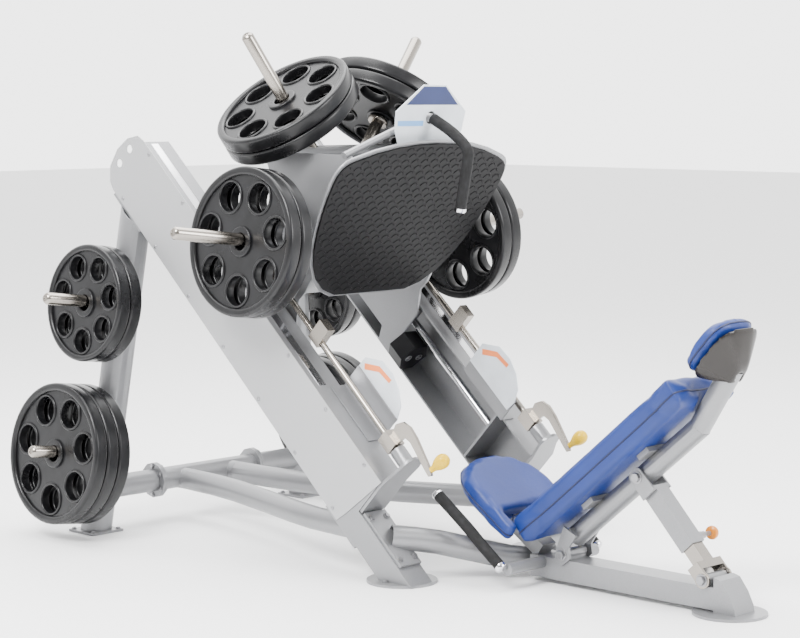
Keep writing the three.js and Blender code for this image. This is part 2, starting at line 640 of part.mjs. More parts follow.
function headrestPad() {
  const shape = new THREE.Shape(headOutline(0).map(([x, y]) => new THREE.Vector2(x, y)));
  const geometry = new THREE.ExtrudeGeometry(shape, { depth: 52, bevelEnabled: false });
  geometry.translate(0, 0, 14);
  return place(geometry, headFrame);
}
add('headrest_pad', headrestPad(), VINYL);

// The shell narrows from the pad's outline to a ridge behind, and takes the end of the backrest tube.
function headrestShell() {
  const ridge = [[190, 8], [168, -4], [142, -32], [103, -62], [58, -69]];
  const points = headOutline(2).map(([x, y]) => new THREE.Vector3(x, y, 14 - GAP));
  for (const y of [-22, 22]) {
    points.push(...ridge.map(([x, z]) => new THREE.Vector3(x, y, z)));
  }
  const shell = place(new ConvexGeometry(points), headFrame);
  return cut(shell, upperTube(1));
}
add('headrest_shell', headrestShell(), SHELL);

// ---------------------------------------------------------------- backrest strut
function strutOuter() {
  const wall = 4;
  const tube = cut(
    box([48, 243], [-26, 26], [-26, 26], STRUT),
    box([60, 260], [-26 + wall, 26 - wall], [-26 + wall, 26 - wall], STRUT));
  const ear = [[-24, -12], [-12, -24], [12, -24], [62, -26], [62, 26], [12, 24], [-12, 24], [-24, 12]];
  const pinHole = box([207, 223], [10, 40], [-8, 8], STRUT);
  const near = BACK_TUBE_R + 2;
  return join(
    cut(tube, pinHole), slab(ear, [near, near + 6], STRUT), slab(ear, [-near - 6, -near], STRUT),
    box([48, 60], [-near - 2, near + 2], [-26, 26], STRUT));
}
add('strut_outer', strutOuter(), FRAME);

function strutInner() {
  const tube = box([112, STRUT_LENGTH - 24], [-21, 21], [-21, 21], STRUT);
  const notch = box([140, 282], [4, 40], [-8, 8], STRUT);
  const bridge = box([STRUT_LENGTH - 48, STRUT_LENGTH - 24], [-54, 54], [-21, 21], STRUT);
  const ears = [];
  for (const y of [[-54, -47], [47, 54]]) {
    ears.push(bar(24, [STRUT_LENGTH, y[0], 0], [STRUT_LENGTH, y[1], 0], STRUT, 16));
    ears.push(box([STRUT_LENGTH - 46, STRUT_LENGTH], y, [-21, 21], STRUT));
  }
  return join(cut(tube, notch), bridge, ...ears);
}
add('strut_inner', strutInner(), NICKEL);

const pinProfile = [[0, 0], [6, 0], [6, 24], [9, 24], [9, 98], [18, 102], [20, 110], [14, 121], [0, 125]];
const pinRoot = new THREE.Vector3(215, 8, 0).applyMatrix4(STRUT).toArray();
add('pull_pin', lathe(pinProfile, hornFrame(pinRoot, [0, 1, 0])), YELLOW);

export default group;
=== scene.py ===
"""Looks of a plate-loaded leg press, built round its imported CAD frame. Metres, +Z up."""
import json
import math

import bmesh
import bpy
from mathutils import Matrix, Vector
from mathutils.bvhtree import BVHTree


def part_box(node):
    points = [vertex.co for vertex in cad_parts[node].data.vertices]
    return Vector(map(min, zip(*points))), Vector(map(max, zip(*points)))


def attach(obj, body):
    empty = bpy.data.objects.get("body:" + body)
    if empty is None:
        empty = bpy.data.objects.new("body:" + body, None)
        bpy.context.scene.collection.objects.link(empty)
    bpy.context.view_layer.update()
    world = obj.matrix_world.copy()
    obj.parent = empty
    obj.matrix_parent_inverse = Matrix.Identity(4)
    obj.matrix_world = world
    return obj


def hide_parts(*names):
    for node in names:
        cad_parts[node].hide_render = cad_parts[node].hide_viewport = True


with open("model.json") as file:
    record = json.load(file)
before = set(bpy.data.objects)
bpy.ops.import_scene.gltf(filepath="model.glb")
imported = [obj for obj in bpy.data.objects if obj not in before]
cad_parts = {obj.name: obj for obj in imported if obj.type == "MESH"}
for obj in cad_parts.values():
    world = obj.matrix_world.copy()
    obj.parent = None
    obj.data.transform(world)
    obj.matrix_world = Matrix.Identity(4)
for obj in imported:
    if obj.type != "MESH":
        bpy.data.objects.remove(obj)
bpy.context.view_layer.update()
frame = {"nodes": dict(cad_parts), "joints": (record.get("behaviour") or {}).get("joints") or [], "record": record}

NODES = frame["nodes"]
JOINTS = {joint["name"]: joint for joint in frame["joints"]}
BODIES = frame["record"]["behaviour"]["bodies"]
BODY_OF = {node: body for body, nodes in BODIES.items() for node in nodes}
SIDES = {"right": 1, "left": -1}

# ---------------------------------------------------------------- sizes taken from the frame's design
SHIFT = Vector((0.1782, 0, 0))
RAIL_DEPTH = 0.217
COVER_FACE = 0.3834
STOP_Y = 0.308
BORE_R = 0.0254
HORN_R = 0.019
HORN_DROP = 0.0058
PLATE_T = 0.046
PLATE_HOLES = 7
PLATE_R = {"small": 0.185, "big": 0.2225}
HOLE_RING = 0.65  # share of the plate's radius where the hand holes stand
HOLE_SIZE = 0.2  # radius of a hand hole as a share of the plate's radius
PIVOT_REACH = 0.0541
STRUT_TOP_REACH = 0.0391
STRUT_FOOT = Vector((0.893, 0, 0.093))
STOP_PLACARD_Y = (0.2574, 0.2626)
SEAT_ANGLE = 33
FOOT_ANGLE = 32.2
BACK_ANGLE = 40
HEAD_ANGLE = 50

# ---------------------------------------------------------------- how finely the meshes are made
SMOOTH_ANGLE = math.radians(38)
PAD_MARGIN = 0.008
PAD_PRESSURE = 4.0
PAD_STIFFNESS = 25
PAD_VOXEL = 0.006
SHELL_VOXEL = 0.005
SEAM_SHARE = 0.42  # height of the piping as a share of the pad's thickness
PIPING_R = 0.0028
PIPING_POINTS = 200
SCREW_R = 0.0065


# ---------------------------------------------------------------- frames of reference
def slope_frame(degrees, origin):
    """X down the slope, Y across, Z square to the slope."""
    a = math.radians(degrees)
    axes = Matrix((
        (math.cos(a), 0, math.sin(a)),
        (0, 1, 0),
        (-math.sin(a), 0, math.cos(a)),
    )).to_4x4()
    return Matrix.Translation(origin) @ axes


def axis_frame(origin, direction):
    """Z along direction, Y as near to straight down as it can be."""
    z = Vector(direction).normalized()
    down = Vector((0, 0, -1))
    y = (down - z * down.dot(z)).normalized()
    axes = Matrix((y.cross(z), y, z)).transposed().to_4x4()
    return Matrix.Translation(origin) @ axes


uphill = Vector(JOINTS["carriage_slide"]["axis"])
RAIL_ANGLE = math.degrees(math.atan2(uphill.z, -uphill.x))
RAIL = slope_frame(RAIL_ANGLE, SHIFT)
SEAT = slope_frame(SEAT_ANGLE, SHIFT)
FOOT = slope_frame(FOOT_ANGLE, SHIFT + Vector((-0.422, 0, 0.783)))
BACK = slope_frame(-BACK_ANGLE, Vector(JOINTS["backrest_fold"]["pos_m"]))
HEAD = slope_frame(-HEAD_ANGLE, BACK @ Vector((0.700, 0, 0.110)))


# ---------------------------------------------------------------- material nodes
def new_material(name, colour, roughness, metallic=0.0, **sockets):
    material = bpy.data.materials.new(name)
    material.use_nodes = True
    shader = material.node_tree.nodes["Principled BSDF"]
    shader.inputs["Base Color"].default_value = (*colour, 1)
    shader.inputs["Roughness"].default_value = roughness
    shader.inputs["Metallic"].default_value = metallic
    for socket, value in sockets.items():
        shader.inputs[socket.replace("_", " ")].default_value = value
    return material


def texture_point(material, stretch=(1, 1, 1)):
    tree = material.node_tree
    coordinates = tree.nodes.new("ShaderNodeTexCoord")
    mapping = tree.nodes.new("ShaderNodeMapping")
    mapping.inputs["Scale"].default_value = stretch
    tree.links.new(coordinates.outputs["Object"], mapping.inputs["Vector"])
    return mapping.outputs["Vector"]


def noise(material, scale, detail=3, stretch=(1, 1, 1)):
    node = material.node_tree.nodes.new("ShaderNodeTexNoise")
    node.inputs["Scale"].default_value = scale
    node.inputs["Detail"].default_value = detail
    material.node_tree.links.new(texture_point(material, stretch), node.inputs["Vector"])
    return node.outputs["Fac"]


def cells(material, scale):
    node = material.node_tree.nodes.new("ShaderNodeTexVoronoi")
    node.feature = "DISTANCE_TO_EDGE"
    node.inputs["Scale"].default_value = scale
    material.node_tree.links.new(texture_point(material), node.inputs["Vector"])
    return node.outputs["Distance"]


def vary_colour(material, factor, low, high):
    ramp = material.node_tree.nodes.new("ShaderNodeValToRGB")
    for element, position, colour in zip(ramp.color_ramp.elements, (0.3, 0.7), (low, high)):
        element.position = position
        element.color = (*colour, 1)
    shader = material.node_tree.nodes["Principled BSDF"]
    material.node_tree.links.new(factor, ramp.inputs["Fac"])
    material.node_tree.links.new(ramp.outputs["Color"], shader.inputs["Base Color"])


def vary_roughness(material, factor, low, high):
    span = material.node_tree.nodes.new("ShaderNodeMapRange")
    span.inputs["To Min"].default_value = low
    span.inputs["To Max"].default_value = high
    shader = material.node_tree.nodes["Principled BSDF"]
    material.node_tree.links.new(factor, span.inputs["Value"])
    material.node_tree.links.new(span.outputs["Result"], shader.inputs["Roughness"])


def add_bump(material, height, strength, distance):
    tree = material.node_tree
    shader = tree.nodes["Principled BSDF"]
    bump = tree.nodes.new("ShaderNodeBump")
    bump.inputs["Strength"].default_value = strength
    bump.inputs["Distance"].default_value = distance
    if shader.inputs["Normal"].is_linked:
        tree.links.new(shader.inputs["Normal"].links[0].from_socket, bump.inputs["Normal"])
    tree.links.new(height, bump.inputs["Height"])
    tree.links.new(bump.outputs["Normal"], shader.inputs["Normal"])


def shade(colour, factor):
    return tuple(min(1.0, channel * factor) for channel in colour)


def powder_coat(name, colour, roughness, metallic):
    material = new_material(name, colour, roughness, metallic)
    vary_colour(material, noise(material, 900, 2), shade(colour, 0.86), shade(colour, 1.1))
    vary_roughness(material, noise(material, 6), roughness - 0.06, roughness + 0.07)
    add_bump(material, noise(material, 750, 2), 0.22, 0.0004)
    return material


def plated(name, colour, roughness, stretch):
    material = new_material(name, colour, roughness, 1.0)
    grain = noise(material, 160, 4, stretch)
    vary_colour(material, grain, shade(colour, 0.93), shade(colour, 1.05))
    vary_roughness(material, grain, roughness - 0.03, roughness + 0.05)
    add_bump(material, grain, 0.04, 0.0002)
    return material


def moulded(name, colour, roughness, grain=500, specular=0.5):
    material = new_material(name, colour, roughness, Specular_IOR_Level=specular)
    vary_colour(material, noise(material, 12), shade(colour, 0.9), shade(colour, 1.08))
    add_bump(material, noise(material, grain), 0.12, 0.0003)
    return material


def plate_coat():
    material = new_material("plate_coat", (0.006, 0.006, 0.006), 0.3, Specular_IOR_Level=0.3)
    vary_colour(material, noise(material, 22), (0.004, 0.004, 0.0045), (0.009, 0.009, 0.01))
    vary_roughness(material, noise(material, 9), 0.2, 0.38)
    add_bump(material, noise(material, 260, 4), 0.18, 0.0006)
    return material


def vinyl(name, colour):
    material = new_material(name, colour, 0.42, Specular_IOR_Level=0.35)
    vary_colour(material, noise(material, 5), shade(colour, 0.86), shade(colour, 1.1))
    vary_roughness(material, noise(material, 14), 0.34, 0.5)
    add_bump(material, noise(material, 45), 0.15, 0.002)
    add_bump(material, cells(material, 620), 0.3, 0.0005)
    return material


def foam_grip():
    material = new_material("grip_foam", (0.008, 0.008, 0.009), 0.72, Specular_IOR_Level=0.2)
    vary_colour(material, noise(material, 60), (0.006, 0.006, 0.006), (0.014, 0.014, 0.015))
    add_bump(material, noise(material, 520, 5), 0.6, 0.0012)
    return material


SILVER = (0.24, 0.242, 0.25)
MATERIALS = {
    "frame_paint": powder_coat("frame_paint", SILVER, 0.36, 0.55),
    "cover_paint": powder_coat("cover_paint", (0.37, 0.372, 0.38), 0.42, 0.35),
    "nickel": plated("nickel", (0.3, 0.275, 0.245), 0.22, (3, 3, 3)),
    "chrome": plated("chrome", (0.72, 0.72, 0.74), 0.12, (20, 20, 1)),
    "plate_black": plate_coat(),
    "mat_rubber": moulded("mat_rubber", (0.006, 0.0058, 0.0064), 0.5, 300, 0.12),
    "grip_foam": foam_grip(),
    "bumper_urethane": moulded("bumper_urethane", (0.006, 0.006, 0.007), 0.45, 500, 0.25),
    "vinyl": vinyl("vinyl", (0.006, 0.024, 0.15)),
    "shell_plastic": moulded("shell_plastic", (0.014, 0.0115, 0.01), 0.22, 500, 0.35),
    "knob_plastic": moulded("knob_plastic", (0.66, 0.42, 0.002), 0.32, 500, 0.3),
    "placard_plastic": moulded("placard_plastic", (0.62, 0.66, 0.7), 0.4),
}
NAVY_PIPING = vinyl("navy_piping", (0.005, 0.009, 0.045))
SCREW_STEEL = plated("screw_steel", (0.3, 0.3, 0.31), 0.32, (1, 1, 1))
AMBER = moulded("amber_knob", (0.6, 0.19, 0.004), 0.28)
HEADER_BLUE = moulded("header_blue", (0.005, 0.016, 0.09), 0.4)
BAND_BLUE = moulded("band_blue", (0.16, 0.36, 0.68), 0.4)
BAND_ORANGE = moulded("band_orange", (0.8, 0.2, 0.05), 0.4)


# ---------------------------------------------------------------- mesh helpers
def finish_piece(name, mesh, material, body, smooth=True, place=None):
    piece = bpy.data.objects.new(name, mesh)
    if place is not None:
        piece.matrix_world = place
    bpy.context.scene.collection.objects.link(piece)
    mesh.materials.clear()
    mesh.materials.append(material)
    if smooth:
        mesh.shade_smooth()
        mesh.set_sharp_from_angle(angle=SMOOTH_ANGLE)
    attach(piece, body)
    return piece


def mesh_of(builder, name="mesh"):
    work = bmesh.new()
    builder(work)
    bmesh.ops.recalc_face_normals(work, faces=work.faces)
    mesh = bpy.data.meshes.new(name)
    work.to_mesh(mesh)
    work.free()
    return mesh


def add_lathe(work, profile, place, segments=40, closed=False):
    """Turns a profile of (radius, height) about Z. An open one has its ends on the axis or gets caps."""
    rings = []
    for radius, height in profile:
        ring = []
        for i in range(segments):
            a = 2 * math.pi * i / segments
            ring.append(work.verts.new(place @ Vector((radius * math.cos(a), radius * math.sin(a), height))))
        rings.append(ring)
    pairs = list(zip(rings, rings[1:]))
    if closed:
        pairs.append((rings[-1], rings[0]))
    for lower, upper in pairs:
        for i in range(segments):
            j = (i + 1) % segments
            work.faces.new((lower[i], lower[j], upper[j], upper[i]))
    if not closed:
        work.faces.new(list(reversed(rings[0])))
        work.faces.new(rings[-1])


def rounded_section(inner, outer, low, high, corner, steps=5):
    """A rounded rectangle of (radius, height) points, for a turned ring."""
    points = []
    centres = [(outer - corner, high - corner), (inner + corner, high - corner),
               (inner + corner, low + corner), (outer - corner, low + corner)]
    for quarter, (r, h) in enumerate(centres):
        for i in range(steps + 1):
            a = math.pi / 2 * (quarter + i / steps)
            points.append((r + corner * math.cos(a), h + corner * math.sin(a)))
    return points


def add_prism(work, outline, low, high, place, chamfer=0.0):
    """An outline in X-Y, thick in Z, with an optional small chamfer on its upper rim."""
    centre = sum((Vector(p) for p in outline), Vector((0, 0))) / len(outline)
    levels = [(low, 0.0), (high - chamfer, 0.0), (high, chamfer)] if chamfer else [(low, 0.0), (high, 0.0)]
    rings = []
    for height, inset in levels:
        ring = []
        for point in outline:
            away = Vector(point) - centre
            shrunk = centre + away * max(0.0, 1 - inset / away.length)
            ring.append(work.verts.new(place @ Vector((*shrunk, height))))
        rings.append(ring)
    count = len(outline)
    for lower, upper in zip(rings, rings[1:]):
        for i in range(count):
            j = (i + 1) % count
            work.faces.new((lower[i], lower[j], upper[j], upper[i]))
    work.faces.new(list(reversed(rings[0])))
    work.faces.new(rings[-1])


def circle(radius, count, centre=(0, 0)):
    turn = 2 * math.pi / count
    return [(centre[0] + radius * math.cos(turn * i),
             centre[1] + radius * math.sin(turn * i)) for i in range(count)]


def add_hex_bolt(work, place, size=0.018, head=0.009):
    add_lathe(work, [(size * 0.75, 0), (size * 0.75, 0.002), (size * 0.6, 0.0025)], place, 24)
    add_prism(work, circle(size * 0.58, 6), 0.0015, head, place, 0.0015)


def add_button_screw(work, place):
    dome = [(SCREW_R, 0), (SCREW_R * 0.97, 0.001), (SCREW_R * 0.8, 0.0024), (SCREW_R * 0.5, 0.0033)]
    add_lathe(work, dome, place, 20)


def add_tube(work, points, radius, sides=16, closed=False):
    """A round bar that follows points, with flat ends unless it closes on itself."""
    rings = []
    count = len(points)
    normal = None
    for i, point in enumerate(points):
        before = points[i - 1] if closed or i else points[0]
        after = points[(i + 1) % count] if closed or i < count - 1 else points[-1]
        tangent = (after - before).normalized()
        if normal is None:
            normal = tangent.orthogonal()
        normal = (normal - tangent * normal.dot(tangent)).normalized()
        other = tangent.cross(normal)
        rings.append([
            work.verts.new(point + radius * (math.cos(2 * math.pi * k / sides) * normal
                                             + math.sin(2 * math.pi * k / sides) * other))
            for k in range(sides)])
    pairs = list(zip(rings, rings[1:])) + ([(rings[-1], rings[0])] if closed else [])
    for lower, upper in pairs:
        for k in range(sides):
            m = (k + 1) % sides
            work.faces.new((lower[k], lower[m], upper[m], upper[k]))
    if not closed:
        work.faces.new(list(reversed(rings[0])))
        work.faces.new(rings[-1])


def smooth_path(points, steps=10):
    """Catmull-Rom points through a short list of places."""
    places = [2 * points[0] - points[1], *points, 2 * points[-1] - points[-2]]
    path = []
    for a, b, c, d in zip(places, places[1:], places[2:], places[3:]):
        for i in range(steps):
            t = i / steps
            path.append(0.5 * (2 * b + (c - a) * t + (2 * a - 5 * b + 4 * c - d) * t * t
                               + (3 * b - a - 3 * c + d) * t ** 3))
    path.append(points[-1])
    return path


# ---------------------------------------------------------------- carried-over CAD nodes
def smooth_by_angle():
    """A node group that shades a mesh smooth except across edges sharper than the limit."""
    tree = bpy.data.node_groups.new("smooth_by_angle", "GeometryNodeTree")
    tree.interface.new_socket("Geometry", in_out="INPUT", socket_type="NodeSocketGeometry")
    tree.interface.new_socket("Geometry", in_out="OUTPUT", socket_type="NodeSocketGeometry")
    given = tree.nodes.new("NodeGroupInput")
    result = tree.nodes.new("NodeGroupOutput")
    faces = tree.nodes.new("GeometryNodeSetShadeSmooth")
    edges = tree.nodes.new("GeometryNodeSetShadeSmooth")
    edges.domain = "EDGE"
    edges.inputs["Shade Smooth"].default_value = False
    angle = tree.nodes.new("GeometryNodeInputMeshEdgeAngle")
    sharp = tree.nodes.new("ShaderNodeMath")
    sharp.operation = "GREATER_THAN"
    sharp.inputs[1].default_value = SMOOTH_ANGLE
    tree.links.new(given.outputs[0], faces.inputs["Geometry"])
    tree.links.new(faces.outputs["Geometry"], edges.inputs["Geometry"])
    tree.links.new(angle.outputs["Unsigned Angle"], sharp.inputs[0])
    tree.links.new(sharp.outputs[0], edges.inputs["Selection"])
    tree.links.new(edges.outputs["Geometry"], result.inputs[0])
    return tree


SMOOTHER = smooth_by_angle()
EDGE_RADIUS = {"headrest_shell": 0.014, "seat_beam": 0.003, "backrest_tube": 0.0015}


def dress_cad_node(node, slot):
    piece = NODES[node]
    piece.data.materials.clear()
    piece.data.materials.append(MATERIALS[slot])
    if "custom_normal" in piece.data.attributes:
        piece.data.attributes.remove(piece.data.attributes["custom_normal"])
    weld = piece.modifiers.new("weld", "WELD")
    weld.merge_threshold = 0.00002
    bevel = piece.modifiers.new("bevel", "BEVEL")
    bevel.width = EDGE_RADIUS.get(node, 0.0012)
    bevel.segments = 4 if node == "headrest_shell" else 2
    bevel.limit_method = "ANGLE"
    bevel.angle_limit = math.radians(36)
    shading = piece.modifiers.new("smooth", "NODES")
    shading.node_group = SMOOTHER
    piece.modifiers.new("weighted", "WEIGHTED_NORMAL").keep_sharp = True


for row in frame["record"]["subparts"]:
    dress_cad_node(row["node"], row["material_slot"])


# ---------------------------------------------------------------- weight plates and horns
def plate_web(radius, half):
    """The recessed disc of a plate with its hand holes, as a filled and extruded 2-D curve."""
    curve = bpy.data.curves.new("web", "CURVE")
    curve.dimensions = "2D"
    curve.fill_mode = "BOTH"
    rings = [circle(radius * 0.93, 72), circle(BORE_R + 0.004, 32)]
    for i in range(PLATE_HOLES):
        a = math.pi / 2 + 2 * math.pi * i / PLATE_HOLES
        middle = (HOLE_RING * radius * math.cos(a), HOLE_RING * radius * math.sin(a))
        rings.append(circle(HOLE_SIZE * radius, 36, centre=middle))
    for ring in rings:
        spline = curve.splines.new("POLY")
        spline.points.add(len(ring) - 1)
        for point, (x, y) in zip(spline.points, ring):
            point.co = (x, y, 0, 1)
        spline.use_cyclic_u = True
    curve.extrude = half
    holder = bpy.data.objects.new("web", curve)
    bpy.context.scene.collection.objects.link(holder)
    mesh = bpy.data.meshes.new_from_object(holder)
    bpy.data.objects.remove(holder)
    return mesh


def plate_mesh(radius):
    """One rubber-coated plate: rounded rim, recessed web, hub and a rolled lip round every hand hole."""
    half = PLATE_T / 2 - 0.0006
    web_half = half * 0.5

    def build(work):
        work.from_mesh(plate_web(radius, web_half))
        bmesh.ops.remove_doubles(work, verts=work.verts, dist=0.00001)
        here = Matrix.Identity(4)
        rim = rounded_section(radius * 0.885, radius, -half, half, 0.009)
        add_lathe(work, rim, here, 96, closed=True)
        hub = rounded_section(BORE_R, BORE_R + 0.02, -half + 0.003, half - 0.003, 0.004)
        add_lathe(work, hub, here, 48, closed=True)
        for i in range(PLATE_HOLES):
            a = math.pi / 2 + 2 * math.pi * i / PLATE_HOLES
            middle = Vector((HOLE_RING * radius * math.cos(a), HOLE_RING * radius * math.sin(a), 0))
            lip = rounded_section(HOLE_SIZE * radius - 0.001, HOLE_SIZE * radius + 0.008,
                                  -web_half - 0.005, web_half + 0.005, 0.0044, 4)
            add_lathe(work, lip, Matrix.Translation(middle), 36, closed=True)

    return mesh_of(build, "plate")


PLATE_COUNTS = {"top": 2, "side": 2, "rear_upper": 2, "rear_lower": 3}
plate_meshes = {size: plate_mesh(radius) for size, radius in PLATE_R.items()}


def weight_stack(horn, side):
    node = f"plates_{horn}_{side}"
    axis = Vector(JOINTS[f"{node}_slide"]["axis"])
    low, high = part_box(node)
    middle = (low + high) / 2
    count = PLATE_COUNTS[horn]
    mesh = plate_meshes["small" if horn == "rear_upper" else "big"]
    for i in range(count):
        place = axis_frame(middle + axis * PLATE_T * (i - (count - 1) / 2), axis)
        disc = finish_piece(f"{node}_{i + 1}", mesh, MATERIALS["plate_black"], BODY_OF[node],
                            place=place)
        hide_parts(node)


def along(node, origin, axis):
    reach = [(vertex.co - origin).dot(axis) for vertex in NODES[node].data.vertices]
    return min(reach), max(reach)


def weight_horn(horn, side):
    """A turned horn with a chamfered tip and the collar that stops the plates."""
    node = f"horn_{horn}_{side}"
    stack = f"plates_{horn}_{side}"
    axis = Vector(JOINTS[f"{stack}_slide"]["axis"])
    low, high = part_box(stack)
    place = axis_frame((low + high) / 2, axis)
    place = place @ Matrix.Translation((0, -HORN_DROP, 0))
    start, end = along(node, place.translation, axis)
    seat = -PLATE_T * PLATE_COUNTS[horn] / 2 - 0.0004
    profile = [(HORN_R, start)]
    if start < seat - 0.02:
        profile += [(HORN_R, seat - 0.012), (HORN_R + 0.012, seat - 0.012), (HORN_R + 0.014, seat - 0.009),
                    (HORN_R + 0.014, seat - 0.001), (HORN_R + 0.012, seat), (HORN_R, seat)]
    profile += [(HORN_R, end - 0.009), (HORN_R - 0.002, end - 0.006), (HORN_R - 0.006, end - 0.001),
                (HORN_R - 0.008, end), (0.007, end), (0.006, end - 0.002)]
    mesh = mesh_of(lambda work: add_lathe(work, profile, place, 48), node)
    piece = finish_piece(f"{node}_turned", mesh, MATERIALS["nickel"], BODY_OF[node])
    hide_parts(node)


for horn_name in PLATE_COUNTS:
    for side_name in SIDES:
        weight_stack(horn_name, side_name)
        weight_horn(horn_name, side_name)


# ---------------------------------------------------------------- upholstery
def local_corners(node, place):
    inverse = place.inverted()
    points = [inverse @ vertex.co for vertex in NODES[node].data.vertices]
    low = Vector([min(p[i] for p in points) for i in range(3)])
    high = Vector([max(p[i] for p in points) for i in range(3)])
    return low, high


def pad_blank(node, place, corner):
    """The CAD pad, a little smaller and with rounded edges, in the pad's own frame."""
    mesh = NODES[node].data.copy()
    mesh.materials.clear()
    mesh.transform(place.inverted())
    low, high = local_corners(node, place)
    middle = (low + high) / 2
    size = high - low
    grow = [max(0.1, 1 - 2 * PAD_MARGIN / size[i]) for i in range(3)]
    mesh.transform(Matrix.Translation(middle) @ Matrix.Diagonal((*grow, 1)) @ Matrix.Translation(-middle))
    blank = bpy.data.objects.new(f"{node}_blank", mesh)
    bpy.context.scene.collection.objects.link(blank)
    weld = blank.modifiers.new("weld", "WELD")
    weld.merge_threshold = 0.0001
    bevel = blank.modifiers.new("bevel", "BEVEL")
    bevel.width = corner
    bevel.segments = 5
    bevel.limit_method = "ANGLE"
    bevel.angle_limit = math.radians(50)
    remesh = blank.modifiers.new("remesh", "REMESH")
    remesh.mode = "VOXEL"
    remesh.voxel_size = PAD_VOXEL
    return blank


def bake_modifiers(piece):
    graph = bpy.context.evaluated_depsgraph_get()
    mesh = bpy.data.meshes.new_from_object(piece.evaluated_get(graph))
    piece.modifiers.clear()
    piece.data = mesh


def inflate(piece):
    """Blows the piece up as cloth and gives back where its vertices stood before."""
    cloth = piece.modifiers.new("cloth", "CLOTH")
    settings = cloth.settings
    settings.use_pressure = True
    settings.uniform_pressure_force = PAD_PRESSURE
    settings.effector_weights.gravity = 0
    settings.tension_stiffness = PAD_STIFFNESS
    settings.compression_stiffness = PAD_STIFFNESS
    settings.shear_stiffness = PAD_STIFFNESS / 2
    settings.quality = 5
    cloth.collision_settings.use_collision = False
    for step in range(1, 21):
        bpy.context.scene.frame_set(step)
    rest = [vertex.co.copy() for vertex in piece.data.vertices]
    bake_modifiers(piece)
    bpy.context.scene.frame_set(1)
    return rest


def cushion(node, place, corner, cap):
    """A vinyl pad, blown up by cloth pressure by no more than cap and held flat against its board."""
    piece = pad_blank(node, place, corner)
    bake_modifiers(piece)
    rest = inflate(piece)
    for vertex, start in zip(piece.data.vertices, rest):
        moved = vertex.co - start
        if moved.length > cap:
            vertex.co = start + moved * (cap / moved.length)
    low, high = local_corners(node, place)
    for vertex in piece.data.vertices:
        vertex.co.z = min(max(vertex.co.z, low.z + 0.0005), high.z)
    ease = piece.modifiers.new("ease", "SMOOTH")
    ease.factor = 0.6
    ease.iterations = 10
    subdivide = piece.modifiers.new("subdivide", "SUBSURF")
    subdivide.levels = 1
    bake_modifiers(piece)
    piece.data.transform(place)
    mesh = piece.data
    bpy.data.objects.remove(piece)
    pad = finish_piece(f"{node}_cushion", mesh, MATERIALS["vinyl"], BODY_OF[node])
    pad.data.shade_smooth()
    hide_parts(node)
    return pad


def seam_loop(name, pad, place, node):
    """Piping that lies on the pad all the way round, at one height above its board."""
    graph = bpy.context.evaluated_depsgraph_get()
    tree = BVHTree.FromObject(pad, graph)
    low, high = local_corners(node, place)
    middle = (low + high) / 2
    half = (high - low) / 2
    points = []
    height = low.z + SEAM_SHARE * (high.z - low.z)
    for i in range(PIPING_POINTS):
        a = 2 * math.pi * i / PIPING_POINTS
        edge = Vector((middle.x + half.x * math.cos(a), middle.y + half.y * math.sin(a), height))
        inside = Vector((middle.x + 0.4 * (edge.x - middle.x), middle.y + 0.4 * (edge.y - middle.y), edge.z))
        outside = edge + (edge - inside).normalized() * 0.3
        target = place @ inside
        start = place @ outside
        hit = tree.ray_cast(start, (target - start).normalized())
        if hit[0] is not None:
            points.append(hit[0])
    mesh = mesh_of(lambda work: add_tube(work, points, PIPING_R, 8, closed=True), name)
    return finish_piece(name, mesh, NAVY_PIPING, BODY_OF[node])


PADS = {
    "seat_pad": {"place": SEAT, "corner": 0.026, "cap": 0.012},
    "backrest_pad": {"place": BACK, "corner": 0.03, "cap": 0.014},
    "headrest_pad": {"place": HEAD, "corner": 0.018, "cap": 0.01},
}
for pad_node, shape in PADS.items():
    made = cushion(pad_node, shape["place"], corner=shape["corner"], cap=shape["cap"])
    seam_loop(f"{pad_node}_piping", made, shape["place"], pad_node)


# ---------------------------------------------------------------- headrest shell
def headrest_shell():
    """The moulded shell behind the headrest, rounded all over."""
    node = "headrest_shell"
    shell = bpy.data.objects.new("shell_blank", NODES[node].data.copy())
    bpy.context.scene.collection.objects.link(shell)
    remesh = shell.modifiers.new("remesh", "REMESH")
    remesh.mode = "VOXEL"
    remesh.voxel_size = SHELL_VOXEL
    smooth = shell.modifiers.new("smooth", "SMOOTH")
    smooth.factor = 0.8
    smooth.iterations = 14
    bake_modifiers(shell)
    mesh = shell.data
    bpy.data.objects.remove(shell)
    piece = finish_piece("headrest_shell_moulding", mesh, MATERIALS["shell_plastic"], BODY_OF[node])
    piece.data.shade_smooth()
    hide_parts(node)


headrest_shell()


